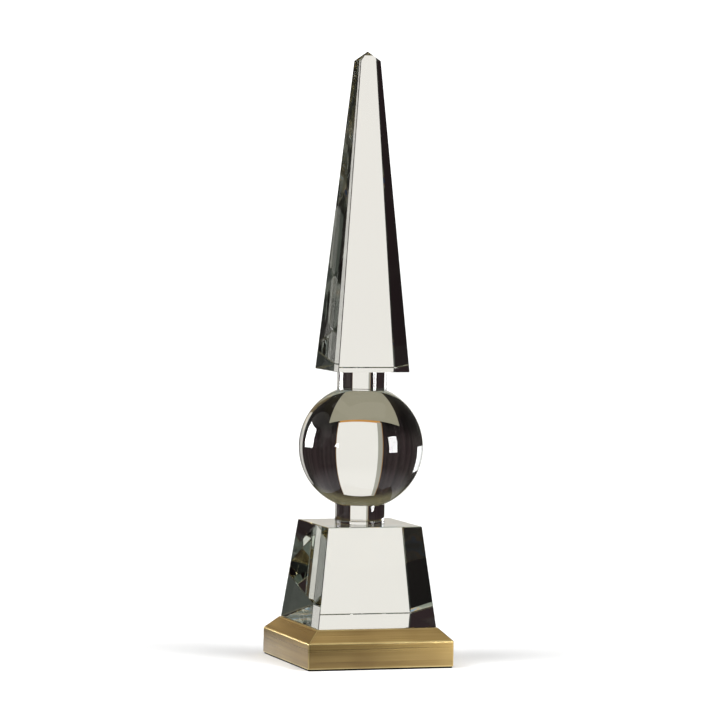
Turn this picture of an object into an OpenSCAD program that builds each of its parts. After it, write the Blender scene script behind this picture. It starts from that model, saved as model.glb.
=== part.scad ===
// Crystal obelisk ornament on a brass base.
// Blocks of clear crystal are stacked and glued: a tapered pedestal, a round neck,
// a ball with a flat at each end, a second neck and a tapered shaft with a low point.
// Millimetres, +Z up. The origin is the centre of the underside, where it stands.

/* [Ball and necks] */
// Diameter of the crystal ball
ball_d = 100; // [70:1:140]
// Diameter of both necks, and of the flats they are glued to
neck_d = 40; // [20:1:60]
// Height of the neck under the ball
lower_neck_h = 15.5; // [6:0.5:40]
// Height of the neck on top of the ball
upper_neck_h = 15.5; // [6:0.5:40]

/* [Shaft] */
// Side of the shaft at its foot
shaft_foot_w = 60; // [45:1:90]
// Side of the shaft at its shoulder, under the point
shaft_shoulder_w = 17; // [8:0.5:40]
// Height of the shaft from foot to shoulder
shaft_h = 248; // [120:1:400]
// Height of the four-sided point
point_h = 7.5; // [3:0.5:30]

/* [Pedestal] */
// Side of the pedestal at its foot
pedestal_foot_w = 99; // [84:1:150]
// Side of the pedestal at its top
pedestal_top_w = 79; // [62:1:120]
// Height of the pedestal
pedestal_h = 80; // [40:1:160]
// Width of the polished flat cut along every crystal edge
edge_cut = 0.5; // [0.2:0.1:2]

/* [Brass base] */
// Width of the brass lip left around the foot of the pedestal
lip_w = 1.2; // [0.4:0.2:10]
// How far the sloped rim runs outward
slope_run = 10.2; // [4:0.2:25]
// Height of the sloped rim
slope_h = 10; // [4:0.5:25]
// Height of the upright band
band_h = 20; // [10:0.5:50]
// Thickness of the brass sheet
sheet_t = 1.5; // [0.8:0.1:3]

/* [Felt pad] */
// Thickness of the felt under the base
felt_t = 1.5; // [0.5:0.5:4]
// How far the felt stays in from the edge of the brass
felt_inset = 1; // [0.5:0.5:8]

/* [Hidden] */
$fn = 96;

// Outer sides of the brass base, which follow from the pedestal that stands on it
lip_half = pedestal_foot_w / 2 + lip_w;
base_half = lip_half + slope_run;
base_h = band_h + slope_h;

// The inner face of the sheet lies one thickness in from the band, the slope and the top
slope_len = sqrt(slope_run * slope_run + slope_h * slope_h);
core_half = base_half - sheet_t;
core_knee_z = band_h - sheet_t * (slope_len - slope_h) / slope_run;
core_top_half = lip_half - sheet_t * (slope_len - slope_run) / slope_h;
core_h = base_h - sheet_t;

// Half the distance between the two flats of the ball, whose rims are as wide as the necks
flat_z = sqrt(ball_d * ball_d - neck_d * neck_d) / 2;

// Levels, each piece standing on the one below
cover_z = felt_t;
pedestal_z = cover_z + base_h;
lower_neck_z = pedestal_z + pedestal_h;
ball_z = lower_neck_z + lower_neck_h + flat_z;
upper_neck_z = ball_z + flat_z;
shaft_z = upper_neck_z + upper_neck_h;

// A straight bar whose cross-section is the mirrored outline, turned about Z.
// The outline lists [half width, height] from the bottom to the top.
module outline_bar(outline, turn) {
    length = 4 * max([for (point = outline) point[0]]);
    mirrored = [
        for (i = [len(outline) - 1:-1:0])
            if (outline[i][0] > 0) [-outline[i][0], outline[i][1]]
    ];
    rotate([0, 0, turn])
        rotate([90, 0, 0])
            linear_extrude(height = length, center = true)
                polygon(concat(outline, mirrored));
}

// A four-sided block whose flat faces follow the outline: what two crossed bars share.
module square_block(outline) {
    intersection() {
        outline_bar(outline, 0);
        outline_bar(outline, 90);
    }
}

// The same block with its upright corners ground away by edge_cut, by two more bars
// that lie on the diagonals.
module crystal_block(outline) {
    diagonal = [
        for (point = outline)
            [max(2 * point[0] - edge_cut, 0) / sqrt(2), point[1]]
    ];
    intersection() {
        square_block(outline);
        outline_bar(diagonal, 45);
        outline_bar(diagonal, -45);
    }
}

// The space inside the brass sheet, which the wooden core fills
module inside_of_cover() {
    square_block([
        [core_half, 0],
        [core_half, core_knee_z],
        [core_top_half, core_h]
    ]);
}

module felt_pad() {
    side = 2 * (base_half - felt_inset);
    color("#1d1a1a")
        translate([0, 0, felt_t / 2])
            cube([side, side, felt_t], center = true);
}

module base_core() {
    color("#8a6a48")
        translate([0, 0, cover_z])
            inside_of_cover();
}

module brass_cover() {
    outline = [
        [base_half, 0],
        [base_half, band_h],
        [lip_half, base_h]
    ];
    color("#9a7b4c")
        translate([0, 0, cover_z])
            difference() {
                square_block(outline);
                inside_of_cover();
            }
}

module pedestal() {
    foot = pedestal_foot_w / 2;
    top = pedestal_top_w / 2;
    outline = [
        [foot - edge_cut, 0],
        [foot, edge_cut],
        [top, pedestal_h - edge_cut],
        [top - edge_cut, pedestal_h]
    ];
    color("#dfe3dc")
        translate([0, 0, pedestal_z])
            crystal_block(outline);
}

module neck(height) {
    cylinder(h = height, d = neck_d);
}

module lower_neck() {
    color("#d3dad6")
        translate([0, 0, lower_neck_z])
            neck(lower_neck_h);
}

module crystal_ball() {
    color("#e4e7e2")
        translate([0, 0, ball_z])
            intersection() {
                sphere(d = ball_d);
                cube([ball_d, ball_d, 2 * flat_z], center = true);
            }
}

module upper_neck() {
    color("#d3dad6")
        translate([0, 0, upper_neck_z])
            neck(upper_neck_h);
}

module shaft() {
    foot = shaft_foot_w / 2;
    outline = [
        [foot - edge_cut, 0],
        [foot, edge_cut],
        [shaft_shoulder_w / 2, shaft_h],
        [0, shaft_h + point_h]
    ];
    color("#dfe3dc")
        translate([0, 0, shaft_z])
            crystal_block(outline);
}

felt_pad();
base_core();
brass_cover();
pedestal();
lower_neck();
crystal_ball();
upper_neck();
shaft();
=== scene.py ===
# %% [markdown]
# # A crystal obelisk on a brass base
#
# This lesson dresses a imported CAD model. The real ornament is five blocks of clear optical
# crystal, glued one on top of the other, on a square base of antiqued brass with felt
# underneath. Clear crystal has hardly any colour of its own. What the eye sees in it is the
# studio around it, bent and mirrored by flat and round faces. So half of the work here is
# exact shapes with clean edges, and the other half is a studio worth seeing through them.
#
# Every length is in metres, and every place comes from the CAD model, the fixed frame.

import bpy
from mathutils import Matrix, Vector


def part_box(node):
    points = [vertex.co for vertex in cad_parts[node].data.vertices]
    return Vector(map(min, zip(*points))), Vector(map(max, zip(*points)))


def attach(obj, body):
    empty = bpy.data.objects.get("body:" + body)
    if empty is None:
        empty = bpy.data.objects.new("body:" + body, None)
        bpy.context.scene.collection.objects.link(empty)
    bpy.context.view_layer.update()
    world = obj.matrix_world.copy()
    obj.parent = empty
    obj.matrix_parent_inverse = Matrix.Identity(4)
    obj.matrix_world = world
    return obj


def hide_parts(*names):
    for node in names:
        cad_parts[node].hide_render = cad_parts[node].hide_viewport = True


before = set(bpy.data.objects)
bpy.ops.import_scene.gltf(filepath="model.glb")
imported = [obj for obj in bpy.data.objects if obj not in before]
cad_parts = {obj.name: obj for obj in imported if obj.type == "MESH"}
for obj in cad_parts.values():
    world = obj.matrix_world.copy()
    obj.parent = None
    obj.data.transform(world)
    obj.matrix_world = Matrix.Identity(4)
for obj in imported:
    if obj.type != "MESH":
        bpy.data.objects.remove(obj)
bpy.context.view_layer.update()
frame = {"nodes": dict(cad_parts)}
print("CAD pieces:", ", ".join(frame["nodes"]))

# %% [markdown]
# ## The object's own measures
#
# A few sizes of the ornament are wanted again and again: where its ball sits and how large
# it is. They could be typed in, but then they would go wrong as soon as the model changed. So
# they are read from the box of the CAD ball.

# %% Libraries and measures
import math
import random

import bpy
from mathutils import Vector

MM = 0.001

ball_low, ball_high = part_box("crystal_ball")
ball_radius = ball_high.x
ball_centre = (ball_low + ball_high) / 2

# %% [markdown]
# ## The camera first
#
# The ornament is seen from a little left of the front and from a little above its middle,
# through a long lens, so its upright edges stay almost parallel. A short lens close by would
# spread them. The azimuth is measured round the object, 0 being straight in front. The camera
# is also rolled by one degree, so the ornament leans slightly to the right in the frame.

# %% Camera
CAMERA_AZIMUTH = math.radians(-18.5)
CAMERA_ELEVATION = math.radians(2.87)
CAMERA_DISTANCE = 3.30
CAMERA_ROLL = math.radians(0.99)
CAMERA_LENS = 205.5
SENSOR_WIDTH = 36
AIM_HEIGHT = 242.5 * MM
AIM_SIDEWAYS = -1.9 * MM
CLIP_START, CLIP_END = 0.05, 60


def compass(azimuth, elevation=0.0):
    """The unit vector from the object towards an azimuth and an elevation, in radians."""
    flat = math.cos(elevation)
    return Vector((math.sin(azimuth) * flat, -math.cos(azimuth) * flat, math.sin(elevation)))


to_camera = compass(CAMERA_AZIMUTH, CAMERA_ELEVATION)
camera_right = compass(CAMERA_AZIMUTH + math.pi / 2)
aim = Vector((0, 0, AIM_HEIGHT)) + camera_right * AIM_SIDEWAYS

scene = bpy.context.scene
camera = bpy.data.objects.new("camera", bpy.data.cameras.new("camera"))
scene.collection.objects.link(camera)
scene.camera = camera
camera.location = aim + to_camera * CAMERA_DISTANCE
camera.rotation_euler = (-to_camera).to_track_quat("-Z", "Y").to_euler()
camera.rotation_euler.rotate_axis("Z", CAMERA_ROLL)
camera.data.lens = CAMERA_LENS
camera.data.sensor_width = SENSOR_WIDTH
camera.data.clip_start = CLIP_START
camera.data.clip_end = CLIP_END
print("camera at", [round(v, 3) for v in camera.location])

# %% [markdown]
# ## Small helpers for finishes
#
# Paint makers give colours as sRGB, but Blender mixes light, which adds up in linear numbers,
# so one function turns the one into the other. Another adds a shader node with its settings
# and fills its sockets. A socket gets either a plain number or colour, or the output of
# another node, which is then linked. A socket that shares its name with others is given by its
# index, such as i0. More helpers than these would hide how a node tree is really made.

# %% Colour and node helpers
def linear(hex_colour):
    """sRGB hex to linear RGBA."""
    channels = [int(hex_colour[i:i + 2], 16) / 255 for i in (1, 3, 5)]
    return [c / 12.92 if c <= 0.04045 else ((c + 0.055) / 1.055) ** 2.4 for c in channels] + [1.0]


def add(tree, kind, settings=None, **inputs):
    """Adds a node, sets its properties, and fills or links its inputs by name or index."""
    node = tree.nodes.new(kind)
    for name, value in (settings or {}).items():
        setattr(node, name, value)
    for name, value in inputs.items():
        by_index = name[0] == "i" and name[1:].isdigit()
        socket = node.inputs[int(name[1:]) if by_index else name.replace("_", " ")]
        if isinstance(value, bpy.types.NodeSocket):
            tree.links.new(value, socket)
        else:
            socket.default_value = value
    return node


def colour_stops(ramp, stops):
    """Fills a colour ramp with (position, sRGB hex) stops."""
    elements = ramp.color_ramp.elements
    while len(elements) < len(stops):
        elements.new(0.5)
    for element, (position, colour) in zip(elements, stops):
        element.position = position
        element.color = linear(colour)


def new_material(name):
    """An empty node material and its tree."""
    material = bpy.data.materials.new(name)
    material.use_nodes = True
    material.node_tree.nodes.clear()
    return material, material.node_tree


print("mid grey #808080 is", round(linear("#808080")[0], 3), "in linear light")

# %% [markdown]
# ## Rings and lofts
#
# Every square piece here is a stack of square rings with their corners cut or rounded, and
# every round piece is a stack of circles, with faces between the rings. A cube with a bevel
# would do for one block, but its bevels can't differ from level to level. The CAD mesh already
# holds the sizes, so the outline of a square block is read from it: its half width at each
# height where the CAD has corners.

# %% Outline from the CAD, square rings and lofts
ONE_MICRON = 6    # metres rounded to six decimals


def cad_outline(node):
    """[(half width, height)] of a square CAD block, from the bottom up."""
    levels = {}
    for vertex in frame["nodes"][node].data.vertices:
        height = round(vertex.co.z, ONE_MICRON)
        levels[height] = max(levels.get(height, 0.0), vertex.co.x)
    return [(levels[z], z) for z in sorted(levels)]


def square_ring(half, height, cut, steps):
    """A square ring with its corners cut off (1 step) or rounded (more steps)."""
    cut = min(cut, half)
    points = []
    for quarter in range(4):
        turn = quarter * math.pi / 2
        for step in range(steps + 1):
            angle = step / steps * math.pi / 2
            x = half - cut + cut * math.cos(angle)
            y = half - cut + cut * math.sin(angle)
            points.append((x * math.cos(turn) - y * math.sin(turn),
                           x * math.sin(turn) + y * math.cos(turn), height))
    return points


def loft(name, rings, sharp_degrees):
    """A closed mesh through rings of equally many points, with a flat cap at each end."""
    count = len(rings[0])
    vertices = [point for ring in rings for point in ring]
    faces = [tuple(reversed(range(count))), tuple(range(len(vertices) - count, len(vertices)))]
    for level in range(len(rings) - 1):
        low, high = level * count, (level + 1) * count
        for i in range(count):
            j = (i + 1) % count
            faces.append((low + i, low + j, high + j, high + i))
    mesh = bpy.data.meshes.new(name)
    mesh.from_pydata(vertices, [], faces)
    mesh.validate()
    mesh.shade_smooth()
    mesh.set_sharp_from_angle(angle=math.radians(sharp_degrees))
    piece = bpy.data.objects.new(name, mesh)
    scene.collection.objects.link(piece)
    print(name, len(mesh.polygons), "faces")
    return piece


def stands_for(piece, node):
    """The piece rides on the one body, and is seen in the place of its CAD node."""
    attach(piece, "root")
    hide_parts(node)


print("pedestal outline in mm:",
      [(round(half / MM, 1), round(z / MM, 1)) for half, z in cad_outline("pedestal")])

# %% [markdown]
# ## The crystal blocks
#
# The pedestal and the shaft are ground flat and polished, and every edge gets a narrow
# polished flat, because a raw glass edge chips. A bevel modifier could cut those flats, but
# then they would miss the exact corners of the CAD, so they are built into the rings. The
# blocks are glued, but the glue does not wet the whole joint: light that skims along inside a
# block still finds air there and is mirrored. So each block stops a hair short of its
# neighbour, and that hair of air is the mirror.

# %% Pedestal and shaft
JOINT_GAP = 0.04 * MM
EDGE_CUT = 0.5 * MM
POINT_HALF = 0.15 * MM
POINT_CUT = 0.05 * MM
EVERY_EDGE = 1    # degrees: any fold sharper than this is an edge


def crystal_block(name, node):
    outline = cad_outline(node)
    rings = [square_ring(half, height, EDGE_CUT, 1) for half, height in outline]
    tip_half, tip_height = outline[-1]
    if tip_half <= EDGE_CUT:
        # A block that ends in a point is polished to a tiny flat there.
        rings[-1] = square_ring(POINT_HALF, tip_height, POINT_CUT, 1)
    rings[0] = [(x, y, z + JOINT_GAP) for x, y, z in rings[0]]
    piece = loft(name, rings, EVERY_EDGE)
    stands_for(piece, node)
    return piece


pedestal = crystal_block("crystal_pedestal", "pedestal")
shaft = crystal_block("crystal_shaft", "shaft")

# %% [markdown]
# ## The ball and the necks
#
# A crystal ball is ground between two cups and a neck is turned from rod, so all three are
# truly round. A ready-made sphere has its poles where the flats should be, and cutting them off
# leaves thin faces. So an outline of radius and height is swept once round the axis. The ball's
# outline is a circle between its two flats, with so many rings that its mirror images stay
# smooth.

# %% Ball and necks
TURN_STEPS = 256
BALL_RINGS = 128
TURNED_EDGE = 20    # degrees: the rims are edges, and the round sides are not


def turned(name, outline, node):
    rings = []
    for radius, height in outline:
        rings.append([(radius * math.cos(2 * math.pi * i / TURN_STEPS),
                       radius * math.sin(2 * math.pi * i / TURN_STEPS), height)
                      for i in range(TURN_STEPS)])
    piece = loft(name, rings, TURNED_EDGE)
    stands_for(piece, node)
    return piece


def neck_outline(node):
    low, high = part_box(node)
    radius = high.x
    bottom, top = low.z + JOINT_GAP, high.z - JOINT_GAP
    rim = EDGE_CUT / 2
    return [(radius - rim, bottom), (radius, bottom + rim), (radius, top - rim), (radius - rim, top)]


flat_angle = math.asin((ball_high.z - ball_centre.z) / ball_radius)
ball_outline = []
for i in range(BALL_RINGS + 1):
    a = flat_angle * (2 * i / BALL_RINGS - 1)
    ball_outline.append((ball_radius * math.cos(a), ball_centre.z + ball_radius * math.sin(a)))

ball = turned("crystal_ball_polished", ball_outline, "crystal_ball")
lower_neck = turned("crystal_neck_lower", neck_outline("lower_neck"), "lower_neck")
upper_neck = turned("crystal_neck_upper", neck_outline("upper_neck"), "upper_neck")

# %% [markdown]
# ## The brass cover
#
# The base is one sheet of brass, folded and soldered into a lid with a sloped rim. Folding and
# filing leave every edge round, and it is these round edges that catch the light. The CAD has
# sharp ones, so the cover is made again: the outline runs down the inside of the sheet and up
# again outside, with an arc at each outer fold.

# %% Arcs at the corners of an outline
def with_arcs(points, radius, steps):
    """Replaces each inner point of an outline by an arc of the given radius."""
    result = [points[0]]
    for before, here, after in zip(points, points[1:], points[2:]):
        corner = Vector(here)
        to_before = (Vector(before) - corner).normalized()
        to_after = (Vector(after) - corner).normalized()
        half_angle = to_before.angle(to_after) / 2
        reach = radius / math.tan(half_angle)
        middle = corner + (to_before + to_after).normalized() * radius / math.sin(half_angle)
        start = corner + to_before * reach - middle
        end = corner + to_after * reach - middle
        for step in range(steps + 1):
            spoke = start.lerp(end, step / steps).normalized() * radius
            result.append(tuple(middle + spoke))
    result.append(points[-1])
    return result


print("a square corner becomes", len(with_arcs([(0, 0), (1, 0), (1, 1)], 0.1, 6)) - 2, "points")

# %% Brass cover
FOLD_RADIUS = 1.4 * MM
CORNER_RADIUS = 1.6 * MM
INNER_CORNER = 0.3 * MM
HEM = 0.4 * MM
FOLD_STEPS = 6
SHEET_EDGE = 50    # degrees: only the cut edges of the sheet stay sharp

inner = cad_outline("base_core")
foot, knee, lip = [level for level in cad_outline("brass_cover") if level not in inner]
hem = (foot[0] - HEM, foot[1])
lip_end = (lip[0] - 2 * FOLD_RADIUS, lip[1])
outside = [hem] + with_arcs([foot, knee, lip, lip_end], FOLD_RADIUS, FOLD_STEPS)
rings = [square_ring(half, z, INNER_CORNER, FOLD_STEPS) for half, z in reversed(inner)]
rings += [square_ring(half, z, CORNER_RADIUS, FOLD_STEPS) for half, z in outside]
brass_cover = loft("brass_cover_folded", rings, SHEET_EDGE)
stands_for(brass_cover, "brass_cover")

# %% [markdown]
# ## The felt pad
#
# A square of pressed wool felt keeps the brass off the table. Its cut edge is soft and a
# little uneven. Real fibres would cost a million hairs for a line 1.5 mm high, so the edge is
# moved in by random amounts instead, from a seeded source, so that it comes out the same
# every time.

# %% Felt pad
FELT_STEPS_PER_SIDE = 60
FELT_UNEVEN = 0.25 * MM
UNDER_THE_BRASS = 0.02 * MM
FELT_EDGE = 60    # degrees

fuzz = random.Random(7)
felt_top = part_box("felt_pad")[1]


def felt_ring(half, height):
    """A square ring whose sides wander inwards a little."""
    ring = []
    for x, y in ((1, -1), (1, 1), (-1, 1), (-1, -1)):
        for step in range(FELT_STEPS_PER_SIDE):
            reach = half - fuzz.random() * FELT_UNEVEN
            along = (2 * step / FELT_STEPS_PER_SIDE - 1) * half
            ring.append((x * reach if x * y < 0 else -y * along,
                         x * along if x * y < 0 else y * reach, height))
    return ring


felt_levels = (0, 0.35 * MM, 0.7 * MM, felt_top.z - UNDER_THE_BRASS)
felt = loft("felt_pad_cut", [felt_ring(felt_top.x, z) for z in felt_levels], FELT_EDGE)
stands_for(felt, "felt_pad")

# %% [markdown]
# ## Finish: optical crystal
#
# Optical crystal is a very clear glass with a refractive index of about 1.52, lapped flat and
# polished. Mixing a glass shader with a glossy one would do, but a single Principled shader
# with full transmission gets its mirror strength from the same index. A faint absorption
# inside gives long paths their cool green-grey. Lapping leaves a face that is flat to the eye
# but not to light, so a very weak bump makes straight lines behind the glass waver a little.

# %% Crystal
CRYSTAL_IOR = 1.52
LAPPING_WAVE = 40 * MM     # from crest to crest, as wide as the lap rocks
WIPE_MARKS = 35 * MM       # patches where a cloth left the polish less than perfect


def crystal_material(name, wave_depth):
    """Clear and bright, with deep blacks and clean whites that bend at every edge."""
    material, tree = new_material(name)
    place = add(tree, "ShaderNodeTexCoord").outputs["Object"]
    wave = add(tree, "ShaderNodeTexNoise", Vector=place, Scale=1 / LAPPING_WAVE, Detail=0.0)
    haze = add(tree, "ShaderNodeTexNoise", Vector=place, Scale=1 / WIPE_MARKS, Detail=3.0)
    haze_map = add(tree, "ShaderNodeMapRange", Value=haze.outputs["Fac"],
                   From_Min=0.45, From_Max=0.8, To_Min=0.0, To_Max=0.003)
    bump = add(tree, "ShaderNodeBump", Strength=1.0, Distance=wave_depth,
               Height=wave.outputs["Fac"])
    glass = add(tree, "ShaderNodeBsdfPrincipled", Base_Color=linear("#FFFFFF"),
                Roughness=haze_map.outputs["Result"], IOR=CRYSTAL_IOR,
                Transmission_Weight=1.0, Normal=bump.outputs["Normal"])
    tint = add(tree, "ShaderNodeVolumeAbsorption", Color=linear("#DFEEE0"), Density=0.8)
    add(tree, "ShaderNodeOutputMaterial", Surface=glass.outputs["BSDF"],
        Volume=tint.outputs["Volume"])
    print(name, "waves", wave_depth / MM, "mm deep")
    return material


lapped_crystal = crystal_material("lapped_optical_crystal", 0.010 * MM)
turned_crystal = crystal_material("turned_optical_crystal", 0.001 * MM)
for piece in (pedestal, shaft):
    piece.data.materials.append(lapped_crystal)
for piece in (ball, lower_neck, upper_neck):
    piece.data.materials.append(turned_crystal)

# %% [markdown]
# ## Finish: antiqued brass, where it is rubbed bright and where a highlight is painted
#
# The brass was brushed along its length, darkened with a chemical patina, rubbed back so that
# the folds show bright metal again, and lacquered. The paler colour along the folds is partly
# that rubbed metal and partly a painted highlight, the bright line that light lays on a round
# edge. The rubbed and highlighted places could be painted by hand or taken from the curvature,
# but here the shape alone gives them: a fold is where the wider of |x| and |y| meets the
# narrower one, and at the heights of the foot, the knee and the lip.

# %% Brass: where the folds are
RUB_AND_HIGHLIGHT_PATCH = 22 * MM        # a thumb's width of uneven rubbing and painted highlight along a fold

brass, tree = new_material("antiqued_brushed_brass")
place = add(tree, "ShaderNodeTexCoord").outputs["Object"]
axes = add(tree, "ShaderNodeSeparateXYZ", Vector=place)
across = add(tree, "ShaderNodeMath", {"operation": "ABSOLUTE"}, i0=axes.outputs["X"])
along = add(tree, "ShaderNodeMath", {"operation": "ABSOLUTE"}, i0=axes.outputs["Y"])
wider = add(tree, "ShaderNodeMath", {"operation": "MAXIMUM"},
            i0=across.outputs["Value"], i1=along.outputs["Value"])
narrower = add(tree, "ShaderNodeMath", {"operation": "MINIMUM"},
               i0=across.outputs["Value"], i1=along.outputs["Value"])
nearest = add(tree, "ShaderNodeMath", {"operation": "SUBTRACT"},
              i0=wider.outputs["Value"], i1=narrower.outputs["Value"])
for _, fold_height in (foot, knee, lip):
    above = add(tree, "ShaderNodeMath", {"operation": "SUBTRACT"},
                i0=axes.outputs["Z"], i1=fold_height)
    off = add(tree, "ShaderNodeMath", {"operation": "ABSOLUTE"}, i0=above.outputs["Value"])
    nearest = add(tree, "ShaderNodeMath", {"operation": "MINIMUM"},
                  i0=nearest.outputs["Value"], i1=off.outputs["Value"])
fold = add(tree, "ShaderNodeMapRange", {"interpolation_type": "SMOOTHSTEP"},
           Value=nearest.outputs["Value"],
           From_Min=0.2 * MM, From_Max=1.2 * MM, To_Min=1.0, To_Max=0.0)
rub_highlight_noise = add(tree, "ShaderNodeTexNoise", Vector=place, Scale=1 / RUB_AND_HIGHLIGHT_PATCH, Detail=2.0)
rub_highlight_map = add(tree, "ShaderNodeMapRange", Value=rub_highlight_noise.outputs["Fac"],
              From_Min=0.35, From_Max=0.6, To_Min=0.45, To_Max=0.8)
wear_and_highlight = add(tree, "ShaderNodeMath", {"operation": "MULTIPLY"},
           i0=fold.outputs["Result"], i1=rub_highlight_map.outputs["Result"])
print("rubbed folds with painted highlight at heights", [round(z / MM, 1) for _, z in (foot, knee, lip)], "mm")

# %% [markdown]
# ## Finish: patina
#
# The patina is brushed on and partly wiped off again, so it lies in soft bands along the metal
# and in clouds as wide as a rag. The eye gets an old, warm brown that is nowhere quite the
# same. One noise could do either, but the sum of a stretched one and an even one does both,
# and it mixes two browns.

# %% Brass: patina
BAND_LENGTH, BAND_LINE = 143 * MM, 4.55 * MM
PATINA_CLOUD = 50 * MM
PATINA_DARK, PATINA_LIGHT = "#856C42", "#AE945E"

bands = add(tree, "ShaderNodeMapping", Vector=place,
            Scale=(1 / BAND_LENGTH, 1 / BAND_LENGTH, 1 / BAND_LINE))
band_noise = add(tree, "ShaderNodeTexNoise", Vector=bands.outputs["Vector"], Scale=1.0, Detail=3.0)
cloud = add(tree, "ShaderNodeTexNoise", Vector=place, Scale=1 / PATINA_CLOUD, Detail=2.0)
uneven = add(tree, "ShaderNodeMath", {"operation": "ADD"},
             i0=band_noise.outputs["Fac"], i1=cloud.outputs["Fac"])
patina = add(tree, "ShaderNodeMapRange", Value=uneven.outputs["Value"],
             From_Min=0.65, From_Max=1.35, To_Min=0.0, To_Max=1.0)
toned = add(tree, "ShaderNodeMix", {"data_type": "RGBA"}, i0=patina.outputs["Result"],
            i6=linear(PATINA_DARK), i7=linear(PATINA_LIGHT))
print("patina from", PATINA_DARK, "to", PATINA_LIGHT)

# %% [markdown]
# ## Finish: brush lines and lacquer
#
# A brush leaves long lines round the base, so a noise stretched along X and Y and tight along Z
# draws them, in colour, in roughness and as a weak bump. An image of brushed metal would need
# unwrapping and would repeat. The metal gives the eye a broad satin glow across the lines, and
# the lacquer, a thin clear coat, lays a small hard highlight over it.

# %% Brass: brush lines and lacquer
# Real brush lines are 0.1 mm apart; 0.5 mm is the finest that still shows from a few metres.
BRUSH_LENGTH, BRUSH_LINE = 111 * MM, 0.5 * MM
# The paler brass along the folds: partly rubbed metal, partly a painted highlight.
RUBBED_BRASS_AND_HIGHLIGHT = "#DFC98D"

streaks = add(tree, "ShaderNodeMapping", Vector=place,
              Scale=(1 / BRUSH_LENGTH, 1 / BRUSH_LENGTH, 1 / BRUSH_LINE))
brush = add(tree, "ShaderNodeTexNoise", Vector=streaks.outputs["Vector"], Scale=1.0, Detail=2.0)
grain = add(tree, "ShaderNodeMapRange", Value=brush.outputs["Fac"],
            From_Min=0.3, From_Max=0.7, To_Min=0.93, To_Max=1.07)
brushed = add(tree, "ShaderNodeVectorMath", {"operation": "SCALE"},
              Vector=toned.outputs[2], Scale=grain.outputs["Result"])
# The folds are lightened: rubbed metal and a painted highlight.
bright = add(tree, "ShaderNodeMix", {"data_type": "RGBA"}, i0=wear_and_highlight.outputs["Value"],
             i6=brushed.outputs["Vector"], i7=linear(RUBBED_BRASS_AND_HIGHLIGHT))
rough = add(tree, "ShaderNodeMapRange", Value=brush.outputs["Fac"],
            From_Min=0.2, From_Max=0.8, To_Min=0.24, To_Max=0.38)
bump = add(tree, "ShaderNodeBump", Strength=0.2, Distance=0.01 * MM, Height=brush.outputs["Fac"])
metal = add(tree, "ShaderNodeBsdfPrincipled", Base_Color=bright.outputs[2], Metallic=1.0,
            Roughness=rough.outputs["Result"], Anisotropic=0.4, Coat_Weight=0.4,
            Coat_Roughness=0.06, Normal=bump.outputs["Normal"])
add(tree, "ShaderNodeOutputMaterial", Surface=metal.outputs["BSDF"])
brass_cover.data.materials.append(brass)
print(brass.name, len(tree.nodes), "nodes")

# %% [markdown]
# ## Finish: wool felt
#
# Felt is wool fibre, wetted and pressed. It swallows light, so all that the eye gets is a dark,
# quite matt line under the bright brass. Two near-black browns mixed by a fibre noise give it
# depth; sheen would do it too, but under the brass no light grazes it.

# %% Felt
# Real fibres are 0.02 mm thick; tufts of 0.6 mm are the finest that still show.
TUFT = 0.6 * MM

felt_wool, tree = new_material("pressed_wool_felt")
place = add(tree, "ShaderNodeTexCoord").outputs["Object"]
fibres = add(tree, "ShaderNodeTexNoise", Vector=place, Scale=1 / TUFT, Detail=4.0)
colour = add(tree, "ShaderNodeMix", {"data_type": "RGBA"}, i0=fibres.outputs["Fac"],
             i6=linear("#0B0909"), i7=linear("#231D1A"))
bump = add(tree, "ShaderNodeBump", Strength=0.6, Distance=0.1 * MM, Height=fibres.outputs["Fac"])
wool = add(tree, "ShaderNodeBsdfPrincipled", Base_Color=colour.outputs[2], Roughness=0.95,
           Specular_IOR_Level=0.2, Normal=bump.outputs["Normal"])
add(tree, "ShaderNodeOutputMaterial", Surface=wool.outputs["BSDF"])
felt.data.materials.append(felt_wool)
print(felt_wool.name, "on", felt.name)

# %% [markdown]
# ## Finish: the core
#
# Thin sheet brass would ring and dent, so a block of fibreboard fills the cover and carries the
# weight of the crystal. It hardly ever shows. Its CAD shape is right, so it stays as it is, and
# only its finish is new: pale and dark chips of a millimetre or so, quite matt.

# %% Core
CHIP = 1.2 * MM

board, tree = new_material("fibreboard_core")
place = add(tree, "ShaderNodeTexCoord").outputs["Object"]
chips = add(tree, "ShaderNodeTexNoise", Vector=place, Scale=1 / CHIP, Detail=3.0)
colour = add(tree, "ShaderNodeMix", {"data_type": "RGBA"}, i0=chips.outputs["Fac"],
             i6=linear("#6E5236"), i7=linear("#A98A62"))
bump = add(tree, "ShaderNodeBump", Strength=0.5, Distance=0.2 * MM, Height=chips.outputs["Fac"])
wood = add(tree, "ShaderNodeBsdfPrincipled", Base_Color=colour.outputs[2], Roughness=0.8,
           Normal=bump.outputs["Normal"])
add(tree, "ShaderNodeOutputMaterial", Surface=wood.outputs["BSDF"])
core = frame["nodes"]["base_core"]
core.data.materials.clear()
core.data.materials.append(board)
print(board.name, "on", core.name)

# %% [markdown]
# ## The studio
#
# A white table and white air are what the camera sees. The crystal sees something else: a
# bright card behind it, dark curtains on both sides of the card, a grey floor below it and a
# dim, cluttered room behind the camera. Glass on white is lit like this, because the dark
# sides draw its edges. Light crosses many faces inside the blocks, so it gets many bounces.

# %% Bounces and the way light becomes colour
BOUNCES = 32
BRIGHTEST_BOUNCE = 6.0    # caps the stray sparks that light bent by glass leaves behind

scene.view_settings.view_transform = "Standard"
scene.cycles.max_bounces = BOUNCES
scene.cycles.glossy_bounces = BOUNCES
scene.cycles.transmission_bounces = BOUNCES
scene.cycles.sample_clamp_indirect = BRIGHTEST_BOUNCE
print("up to", BOUNCES, "bounces")

# %% [markdown]
# ## Directions in the world
#
# The curtains and the room have no shape of their own: they are drawn on the world, by the
# direction that a ray leaves in. That costs nothing and can't get in the way of a view from
# behind. Two angles place everything on it: how far round from the camera, positive to its
# right, and how far up from level, both in radians.

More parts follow.
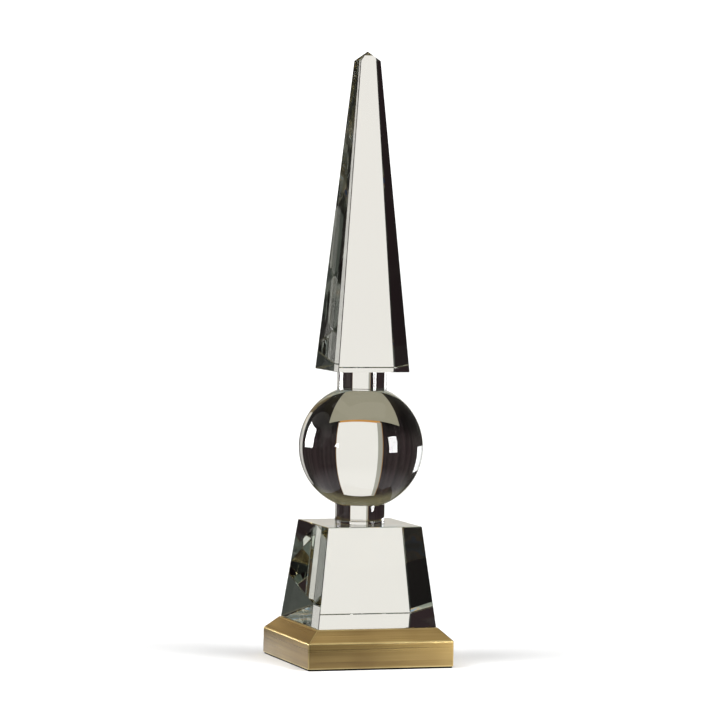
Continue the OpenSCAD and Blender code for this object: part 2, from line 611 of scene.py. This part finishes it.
# %% World: the two angles
world = bpy.data.worlds.new("studio")
scene.world = world
world.use_nodes = True
tree = world.node_tree
tree.nodes.clear()
direction = add(tree, "ShaderNodeTexCoord").outputs["Generated"]
height = add(tree, "ShaderNodeSeparateXYZ", Vector=direction).outputs["Z"]
ahead = add(tree, "ShaderNodeVectorMath", {"operation": "DOT_PRODUCT"},
            i0=direction, i1=compass(CAMERA_AZIMUTH)).outputs["Value"]
to_right = add(tree, "ShaderNodeVectorMath", {"operation": "DOT_PRODUCT"},
               i0=direction, i1=camera_right).outputs["Value"]
turned_by = add(tree, "ShaderNodeMath", {"operation": "ARCTAN2"},
                i0=to_right, i1=ahead).outputs["Value"]
raised_by = add(tree, "ShaderNodeMath", {"operation": "ARCSINE"}, i0=height).outputs["Value"]
angles = add(tree, "ShaderNodeCombineXYZ", X=turned_by, Y=raised_by).outputs["Vector"]
print("camera stands at azimuth", round(math.degrees(CAMERA_AZIMUTH), 1), "degrees")

# %% [markdown]
# ## Curtains behind
#
# Black velvet hangs from a rail behind the ornament, in upright folds. Its job is to be dark,
# with just enough wine red in the folds to look like cloth. It gets darker near the floor, and
# above it begins an olive ceiling. A noise that is stretched upwards makes the folds.

# %% World: curtains behind
FOLDS = (15, 0.6, 1)    # how many to a radian round, and up
VELVET_DARK, VELVET_LIGHT = "#181112", "#3C2F31"
CEILING = "#6E6850"

folds = add(tree, "ShaderNodeMapping", Vector=angles, Scale=FOLDS)
fold_noise = add(tree, "ShaderNodeTexNoise", Vector=folds.outputs["Vector"], Scale=1.0, Detail=1.5)
fold_map = add(tree, "ShaderNodeMapRange", Value=fold_noise.outputs["Fac"],
               From_Min=0.3, From_Max=0.75, To_Min=0.0, To_Max=1.0)
curtain = add(tree, "ShaderNodeMix", {"data_type": "RGBA"}, i0=fold_map.outputs["Result"],
              i6=linear(VELVET_DARK), i7=linear(VELVET_LIGHT))
low_dark = add(tree, "ShaderNodeMapRange", Value=raised_by,
               From_Min=-0.34, From_Max=-0.14, To_Min=0.25, To_Max=1.0)
shaded = add(tree, "ShaderNodeVectorMath", {"operation": "SCALE"},
             Vector=curtain.outputs[2], Scale=low_dark.outputs["Result"])
to_ceiling = add(tree, "ShaderNodeMapRange", Value=raised_by,
                 From_Min=0.6, From_Max=0.8, To_Min=0.0, To_Max=1.0)
behind_all = add(tree, "ShaderNodeMix", {"data_type": "RGBA"}, i0=to_ceiling.outputs["Result"],
                 i6=shaded.outputs["Vector"], i7=linear(CEILING))
print("ceiling from", round(math.degrees(0.6)), "degrees up")

# %% [markdown]
# ## The room in front
#
# Behind the camera is a workroom, out of focus: wide soft shapes on the walls over a speckled
# floor. The left face of each block bends its light down and forward, so that floor is what
# gives those faces their grey-green speckle. Among the specks are painted glints: rare pale,
# amber and blue sparks that the crystal shows as sparkles. Modelling the room would take a day
# and would show as no more than this.

# %% World: walls and floor of the room
ROOM_SHAPES = 3.5       # to a radian
FLOOR_SPECKS_AND_GLINTS = 110.0    # to a radian

shapes = add(tree, "ShaderNodeTexNoise", Vector=angles, Scale=ROOM_SHAPES, Detail=2.0)
shape_map = add(tree, "ShaderNodeMapRange", Value=shapes.outputs["Fac"],
                From_Min=0.4, From_Max=0.62, To_Min=0.0, To_Max=1.0)
walls = add(tree, "ShaderNodeMix", {"data_type": "RGBA"}, i0=shape_map.outputs["Result"],
            i6=linear("#48504B"), i7=linear("#9AA297"))
speckle_and_glints = add(tree, "ShaderNodeTexNoise", Vector=angles, Scale=FLOOR_SPECKS_AND_GLINTS, Detail=2.0)
floor = add(tree, "ShaderNodeValToRGB", Fac=speckle_and_glints.outputs["Fac"])
# Painted glints: the pale, amber and blue tones near the top of the ramp; below them the floor's
# speckle.
colour_stops(floor, [(0.30, "#15191A"), (0.50, "#2F3630"), (0.60, "#5C6354"), (0.66, "#A5A793"),
                     (0.68, "#A67F45"), (0.70, "#4A6F96"), (0.74, "#3A443F")])
on_wall = add(tree, "ShaderNodeMapRange", Value=raised_by,
              From_Min=-0.3, From_Max=-0.1, To_Min=0.0, To_Max=1.0)
wall_or_floor = add(tree, "ShaderNodeMix", {"data_type": "RGBA"}, i0=on_wall.outputs["Result"],
                    i6=floor.outputs["Color"], i7=walls.outputs[2])
print("floor has", len(floor.color_ramp.elements), "tones")

# %% [markdown]
# ## Light in the room
#
# A lamp high on the left makes that side of the room brighter, which tells the left faces from
# the right ones. Mirrored in the front faces, the room would lay a veil over the dark curtains,
# so it is dimmed for mirrored rays alone. At the camera's sides it gives way to the curtains.

# %% World: the light in the room
ROOM_LAMP_TURN, ROOM_LAMP_RAISE = math.radians(-60), math.radians(35)
DIMMED = 0.4

ray = add(tree, "ShaderNodeLightPath")
to_lamp = add(tree, "ShaderNodeVectorMath", {"operation": "DOT_PRODUCT"}, i0=direction,
              i1=compass(CAMERA_AZIMUTH + ROOM_LAMP_TURN, ROOM_LAMP_RAISE))
lamp_side = add(tree, "ShaderNodeMapRange", Value=to_lamp.outputs["Value"],
                From_Min=-0.5, From_Max=0.7, To_Min=0.5, To_Max=1.5)
mirrored = add(tree, "ShaderNodeMapRange", Value=ray.outputs["Is Glossy Ray"],
               From_Min=0.0, From_Max=1.0, To_Min=1.0, To_Max=DIMMED)
brightness = add(tree, "ShaderNodeMath", {"operation": "MULTIPLY"},
                 i0=mirrored.outputs["Result"], i1=lamp_side.outputs["Result"])
room = add(tree, "ShaderNodeVectorMath", {"operation": "SCALE"}, Vector=wall_or_floor.outputs[2],
           Scale=brightness.outputs["Value"])
front = add(tree, "ShaderNodeMapRange", Value=ahead,
            From_Min=0.0, From_Max=0.2, To_Min=0.0, To_Max=1.0)
around = add(tree, "ShaderNodeMix", {"data_type": "RGBA"}, i0=front.outputs["Result"],
             i6=behind_all.outputs[2], i7=room.outputs["Vector"])
print("mirrored, the room is at", DIMMED)

# %% [markdown]
# ## Three answers to three kinds of ray
#
# A studio hides its lamps and its dark cloths just outside the picture. Here the kind of ray
# does that: the camera sees clean white air, whatever is mirrored or bent sees the curtains and
# the room, and everything matt gets the key light, two large soft lamps high on the left and
# the right. They lay a faint soft shadow on the table on both sides.

# %% World: white air and key light
KEY_TURN, KEY_RAISE = math.radians(64), math.radians(51)
KEY_STRENGTH, FILL_STRENGTH = 12.5, 0.10
KEY_WIDTH = 0.92    # the cosine at the rim of each lamp
WHITE_AIR = 1.35

lobes = [add(tree, "ShaderNodeVectorMath", {"operation": "DOT_PRODUCT"}, i0=direction,
             i1=compass(CAMERA_AZIMUTH + side * KEY_TURN, KEY_RAISE)).outputs["Value"]
         for side in (-1, 1)]
left_and_right = add(tree, "ShaderNodeMath", {"operation": "MAXIMUM"}, i0=lobes[0], i1=lobes[1])
key_light = add(tree, "ShaderNodeMapRange", {"interpolation_type": "SMOOTHSTEP"},
                Value=left_and_right.outputs["Value"], From_Min=KEY_WIDTH, From_Max=1.0,
                To_Min=FILL_STRENGTH, To_Max=KEY_STRENGTH)
lit = add(tree, "ShaderNodeMix", i0=ray.outputs["Is Camera Ray"],
          i2=key_light.outputs["Result"], i3=WHITE_AIR).outputs[0]
plain = add(tree, "ShaderNodeCombineXYZ", X=lit, Y=lit, Z=lit)
bent = add(tree, "ShaderNodeMath", {"operation": "MAXIMUM"},
           i0=ray.outputs["Is Glossy Ray"], i1=ray.outputs["Is Transmission Ray"])
seen = add(tree, "ShaderNodeMix", {"data_type": "RGBA"}, i0=bent.outputs["Value"],
           i6=plain.outputs["Vector"], i7=around.outputs[2])
background = add(tree, "ShaderNodeBackground", Color=seen.outputs[2], Strength=1.0)
add(tree, "ShaderNodeOutputWorld", Surface=background.outputs["Background"])
print(world.name, len(tree.nodes), "nodes")

# %% [markdown]
# ## The table
#
# The ornament stands on a white sheet that has no end. To the camera it is one large matt
# square, and it takes the shadow. Glass and brass don't see that square, or the ball would show
# a hard horizon: they get small tables of their own. So each stage piece says which kinds of
# ray see it.

# %% White table
TABLE_REACH = 25
TABLE_WHITE = (0.8, 0.8, 0.8, 1)


def stage_plane(name, corners, material, **visible):
    """A flat stage piece; each keyword says whether that kind of ray sees it."""
    mesh = bpy.data.meshes.new(name)
    mesh.from_pydata([tuple(c) for c in corners], [], [tuple(range(len(corners)))])
    plane = bpy.data.objects.new(name, mesh)
    scene.collection.objects.link(plane)
    plane.data.materials.append(material)
    for ray_kind, flag in visible.items():
        setattr(plane, "visible_" + ray_kind, flag)
    print("stage:", name)


def flat_square(half, z):
    return [(-half, -half, z), (half, -half, z), (half, half, z), (-half, half, z)]


table_top, tree = new_material("white_table")
matt = add(tree, "ShaderNodeBsdfDiffuse", Color=TABLE_WHITE)
add(tree, "ShaderNodeOutputMaterial", Surface=matt.outputs["BSDF"])
stage_plane("table", flat_square(TABLE_REACH, 0), table_top, transmission=False, glossy=False)

# %% [markdown]
# ## The table in the brass
#
# Polished metal mirrors what lies in front of its foot, and the pale table there lifts the
# upright band. It is a glowing square that only glossy rays see, and it fades outwards, so that
# the ball doesn't show where it ends.

# %% Table near the brass
NEAR_GLOW = 0.72
FADE_START, FADE_END = 0.12, 0.34
NEAR_HALF = 0.35

near_table, tree = new_material("table_near_the_brass")
away = add(tree, "ShaderNodeVectorMath", {"operation": "LENGTH"},
           Vector=add(tree, "ShaderNodeTexCoord").outputs["Object"])
fade = add(tree, "ShaderNodeMapRange", {"interpolation_type": "SMOOTHSTEP"},
           Value=away.outputs["Value"], From_Min=FADE_START, From_Max=FADE_END,
           To_Min=NEAR_GLOW, To_Max=0.0)
light = add(tree, "ShaderNodeEmission", Strength=fade.outputs["Result"])
add(tree, "ShaderNodeOutputMaterial", Surface=light.outputs["Emission"])
stage_plane("table_in_the_brass", flat_square(NEAR_HALF, 0.02 * MM), near_table,
            camera=False, diffuse=False, transmission=False, shadow=False)

# %% [markdown]
# ## The stand under the glass
#
# Rays that leave the crystal downwards land on the stand close by, or past it on the dark
# floor. The stand is a round one, a little to the front and the right, so that each block
# shows both. It is no lamp, yet it glows by itself: painted light in greys mixed by a noise,
# in place of a lit stand. Its blue and amber tints stand for the thin rainbows that real
# crystal makes of every edge: true dispersion would need a render for each colour.

# %% Stand
STAND_RADIUS = 0.225
STAND_FORWARD = 0.075
STAND_TURN = math.radians(20)
STAND_TONES = 28 * MM

stand, tree = new_material("stand_top")
place = add(tree, "ShaderNodeTexCoord").outputs["Object"]
stand_glow_noise = add(tree, "ShaderNodeTexNoise", Vector=place, Scale=1 / STAND_TONES, Detail=3.0)
tones = add(tree, "ShaderNodeValToRGB", Fac=stand_glow_noise.outputs["Fac"])
colour_stops(tones, [(0.32, "#6F766C"), (0.46, "#989D8E"), (0.51, "#B4B3A2"), (0.535, "#C4A97A"),
                     (0.56, "#93AFC2"), (0.60, "#8E9488"), (0.72, "#737A71")])
# Painted light: the stand glows by itself in these tones, in place of a lit stand.
light = add(tree, "ShaderNodeEmission", Color=tones.outputs["Color"])
add(tree, "ShaderNodeOutputMaterial", Surface=light.outputs["Emission"])
stand_middle = compass(CAMERA_AZIMUTH + STAND_TURN) * STAND_FORWARD - Vector((0, 0, MM))
stand_rim = [stand_middle + compass(math.radians(a)) * STAND_RADIUS for a in range(0, 360, 10)]
stage_plane("stand_top", stand_rim, stand,
            camera=False, diffuse=False, glossy=False, shadow=False)

# %% [markdown]
# ## The bright card behind
#
# The white that fills the front faces is a card behind the ornament. There are two in line, one
# near and one far, so that the low pedestal and the high point both end on white. The edges of
# a card seen through a prism are fringed with colour, and thin amber strips along its edges
# give the crystal those fringes. A card is placed by angles, as the ball sees it, because that
# is where its edges show most.

# %% Cards behind
CARD_LOW, CARD_HIGH = -19.3, 36
CARD_LEFT, CARD_RIGHT = 165, 190.2
CARD_NEAR, CARD_FAR = 1.0, 2.0
BESIDE = 0.01    # no two sheets share a plane
SHADED_STRIP = 2.9
LOW_FRINGE, LEFT_FRINGE, RIGHT_FRINGE = 2, 0.4, 0.5


def glow(name, colour, strength):
    material, tree = new_material(name)
    light = add(tree, "ShaderNodeEmission", Color=colour, Strength=strength)
    add(tree, "ShaderNodeOutputMaterial", Surface=light.outputs["Emission"])
    return material


def card(name, left, right, low, high, distance, material, **visible):
    """An upright card between two azimuths and two elevations, in degrees, seen from the
    ball. Azimuths are counted from the camera, positive to its right."""
    out = compass(CAMERA_AZIMUTH + math.radians((left + right) / 2))
    side = Vector((-out.y, out.x, 0))
    half = math.tan(math.radians((right - left) / 2)) * distance
    corners = []
    for s, angle in ((-1, low), (1, low), (1, high), (-1, high)):
        z = ball_centre.z + math.tan(math.radians(angle)) * distance
        corners.append(out * distance + side * half * s + Vector((0, 0, z)))
    stage_plane(name, corners, material, camera=False, diffuse=False, shadow=False, **visible)


white = glow("white_card", linear("#F3F0E9"), 1.0)
dimmer = glow("card_edge_in_shade", linear("#A5A397"), 1.0)
amber = glow("amber_fringe", linear("#C98F4B"), 1.0)
amber_dim = glow("amber_fringe_dim", linear("#8F6C48"), 1.0)
for away in (CARD_NEAR, CARD_FAR):
    card(f"back_card_{away}", CARD_LEFT, CARD_RIGHT, CARD_LOW, CARD_HIGH, away, white)
strip_end = CARD_RIGHT + SHADED_STRIP
card("card_side", CARD_RIGHT, strip_end, CARD_LOW, CARD_HIGH, CARD_NEAR + 2 * BESIDE, dimmer)
card("card_low_fringe", CARD_LEFT, strip_end, CARD_LOW - LOW_FRINGE, CARD_LOW,
     CARD_FAR - BESIDE, amber)
card("card_left_fringe", CARD_LEFT - LEFT_FRINGE, CARD_LEFT, CARD_LOW, CARD_HIGH,
     CARD_NEAR + BESIDE, amber_dim)
card("card_right_fringe", strip_end, strip_end + RIGHT_FRINGE, CARD_LOW, CARD_HIGH,
     CARD_NEAR + BESIDE, amber_dim)

# %% [markdown]
# ## Lamps
#
# Softboxes on both sides put the bright windows on the ball, and a small lamp adds the little
# one near its middle. A face mirrors only about a twentieth of a lamp, but glass lets nearly
# all of it through, and the same lamp would burn out every face that looks at it. So a
# softbox is two stage pieces in one place: a strong one for the mirrored rays and a weak one
# for the bent rays.

# %% Softboxes
LAMP_DISTANCE = 1.4
# Left, right, low and high edge of each lamp, in the degrees that card() takes
LEFT_BOX, RIGHT_BOX = (-125, -98, -3, 20), (53, 70, -7, 19)
SMALL_LAMP = (-48, -42, 1.5, 7.0)
LAMP_WHITE = (1, 1, 1, 1)

bright_lamp = glow("softbox_mirrored", LAMP_WHITE, 20.0)
card("softbox_left", *LEFT_BOX, LAMP_DISTANCE, bright_lamp, transmission=False)
card("softbox_right", *RIGHT_BOX, LAMP_DISTANCE, bright_lamp, transmission=False)
card("small_lamp", *SMALL_LAMP, LAMP_DISTANCE, bright_lamp, transmission=False)
soft_lamp = glow("softbox_through_glass", LAMP_WHITE, 1.8)
card("softbox_left_inside", *LEFT_BOX, LAMP_DISTANCE, soft_lamp, glossy=False)
card("softbox_right_inside", *RIGHT_BOX, LAMP_DISTANCE, soft_lamp, glossy=False)

# %% [markdown]
# ## Cards for the other sides
#
# Whoever walks round the ornament should find white behind it too, so there is a card behind
# each of its other three sides. The one in front is narrow and dim, because the ball shows
# whatever stands there in its dark left half. A warm strip beside the back card gives the
# mirrored brass its gold.

# %% Cards for the other sides
SIDE_CARD_DISTANCE = 2.4
SIDE_CARD_LOW = -33
WARM_STRIP = (197, 214, 4, 34)

half_white = glow("half_white_card", linear("#F3F0E9"), 0.5)
for side, turn, half, high, paper in (("front", 18.5, 2.1, -1, half_white),
                                      ("left", -71.5, 9, CARD_HIGH, white),
                                      ("right", 108.5, 9, CARD_HIGH, white)):
    card("card_for_" + side, turn - half, turn + half, SIDE_CARD_LOW, high,
         SIDE_CARD_DISTANCE, paper, glossy=False)
side_light = glow("side_light", linear("#FFDFA3"), 0.5)
card("side_light", *WARM_STRIP, LAMP_DISTANCE, side_light, transmission=False)

# %% [markdown]
# ## Floor behind and light overhead
#
# Under the card lies a grey floor, a wedge that runs from the ornament to the foot of the far
# card: it is the olive band at the top of the ball, which turns everything upside down. Above
# hangs a scrim, a frame of thin cloth that softens the lamp over it. Only mirrored rays see it,
# on the slope of the brass and on the crown of the ball.

# %% Floor and scrim
FLOOR_NEAR, FLOOR_LEFT, FLOOR_RIGHT = 0.12, -24, 30
SCRIM_HIGH = 1.6
SCRIM_HALF = 0.9

grey = glow("studio_floor", linear("#9C9783"), 1.0)
floor_z = ball_centre.z + math.tan(math.radians(CARD_LOW - LOW_FRINGE)) * CARD_FAR
wedge = []
for distance, spread in ((FLOOR_NEAR, FLOOR_RIGHT), (FLOOR_NEAR, FLOOR_LEFT),
                         (CARD_FAR, FLOOR_LEFT), (CARD_FAR, FLOOR_RIGHT)):
    spread = math.radians(spread)
    corner = compass(CAMERA_AZIMUTH + math.pi + spread) * distance / math.cos(spread)
    wedge.append((corner.x, corner.y, floor_z))
stage_plane("studio_floor", wedge, grey, camera=False, diffuse=False, glossy=False, shadow=False)

overhead = glow("overhead_scrim", linear("#FFF6E8"), 0.48)
stage_plane("overhead", flat_square(SCRIM_HALF, SCRIM_HIGH), overhead,
            camera=False, diffuse=False, transmission=False, shadow=False)
